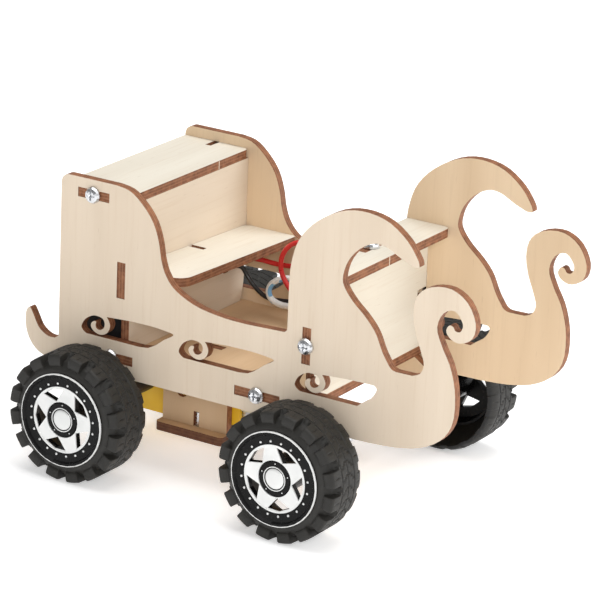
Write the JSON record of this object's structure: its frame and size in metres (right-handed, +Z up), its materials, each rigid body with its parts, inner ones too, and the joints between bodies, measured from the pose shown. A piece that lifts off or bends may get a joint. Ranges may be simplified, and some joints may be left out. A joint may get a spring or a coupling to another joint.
{
  "type": "four wheel robot car chassis",
  "caption": "Plywood car chassis with scroll-edged side plates, a bench seat, a geared rear axle and free front wheels.",
  "frame": {"origin": "on the ground under the middle of the whole car", "axes": "+X forward towards the horns, +Y to the car's left, +Z up"},
  "size_m": [0.1676, 0.1186, 0.1059],
  "materials": {
    "plywood": "bare laser-cut birch plywood, matt",
    "gearbox_yellow": "moulded yellow plastic, satin",
    "motor_steel": "plated steel can",
    "white_plastic": "moulded white plastic",
    "strap_clear": "translucent strap, drawn as pale plastic",
    "black_plastic": "moulded black plastic",
    "steel": "bright steel rod",
    "tyre_rubber": "soft black rubber, matt",
    "rim_black": "glossy black plastic",
    "star_silver": "bright silver foil on plastic",
    "screw_zinc": "zinc plated steel",
    "box_black": "moulded black plastic, fine texture",
    "cell_wrap": "printed cell sleeve, unmarked",
    "board_green": "coated circuit board",
    "lead_black": "soft plastic insulation",
    "lead_red": "soft plastic insulation",
    "lead_white": "soft plastic insulation"
  },
  "bodies": {
    "chassis": {"side_plate_right": "plywood", "side_plate_left": "plywood", "roof_panel": "plywood", "backrest_panel": "plywood", "seat_panel": "plywood", "floor_panel": "plywood", "front_panel": "plywood", "hood_panel": "plywood", "motor_base_plate": "plywood", "motor_mount_right": "plywood", "motor_mount_left": "plywood", "axle_hanger_right": "plywood", "axle_hanger_left": "plywood", "gearbox_housing": "gearbox_yellow", "motor_can": "motor_steel", "motor_end_cap": "white_plastic", "motor_strap": "strap_clear", "front_axle_rod": "steel", "screw_roof_right": "screw_zinc", "screw_front_panel_right": "screw_zinc", "screw_floor_rear_right": "screw_zinc", "screw_floor_front_right": "screw_zinc", "screw_base_right": "screw_zinc", "screw_roof_left": "screw_zinc", "screw_front_panel_left": "screw_zinc", "screw_floor_rear_left": "screw_zinc", "screw_floor_front_left": "screw_zinc", "screw_base_left": "screw_zinc", "screw_hood": "screw_zinc", "screw_seat": "screw_zinc", "battery_box": "box_black", "battery_lid": "box_black", "cell_1": "cell_wrap", "cell_2": "cell_wrap", "receiver_board": "board_green", "lead_black": "lead_black", "lead_red": "lead_red", "lead_white": "lead_white"},
    "rear_axle": {"output_shaft": "white_plastic", "axle_sleeve_right": "black_plastic", "axle_sleeve_left": "black_plastic", "tyre_rear_right": "tyre_rubber", "rim_rear_right": "rim_black", "star_rear_right": "star_silver", "tyre_rear_left": "tyre_rubber", "rim_rear_left": "rim_black", "star_rear_left": "star_silver"},
    "front_wheel_right": {"tyre_front_right": "tyre_rubber", "rim_front_right": "rim_black", "star_front_right": "star_silver"},
    "front_wheel_left": {"tyre_front_left": "tyre_rubber", "rim_front_left": "rim_black", "star_front_left": "star_silver"},
    "switch": {"switch_slider": "white_plastic"}
  },
  "joints": [
    {"name": "rear_axle_spin", "type": "hinge", "parent": "chassis", "child": "rear_axle", "pos_m": [-0.0529, 0, 0.0215], "axis": [0, 1, 0], "continuous": true},
    {"name": "front_wheel_right_spin", "type": "hinge", "parent": "chassis", "child": "front_wheel_right", "pos_m": [0.0281, -0.05, 0.0215], "axis": [0, 1, 0], "continuous": true},
    {"name": "front_wheel_left_spin", "type": "hinge", "parent": "chassis", "child": "front_wheel_left", "pos_m": [0.0281, 0.05, 0.0215], "axis": [0, 1, 0], "continuous": true},
    {"name": "switch_slide", "type": "slide", "parent": "chassis", "child": "switch", "axis": [0, 1, 0], "range_m": [0, 0.003]}
  ]
}
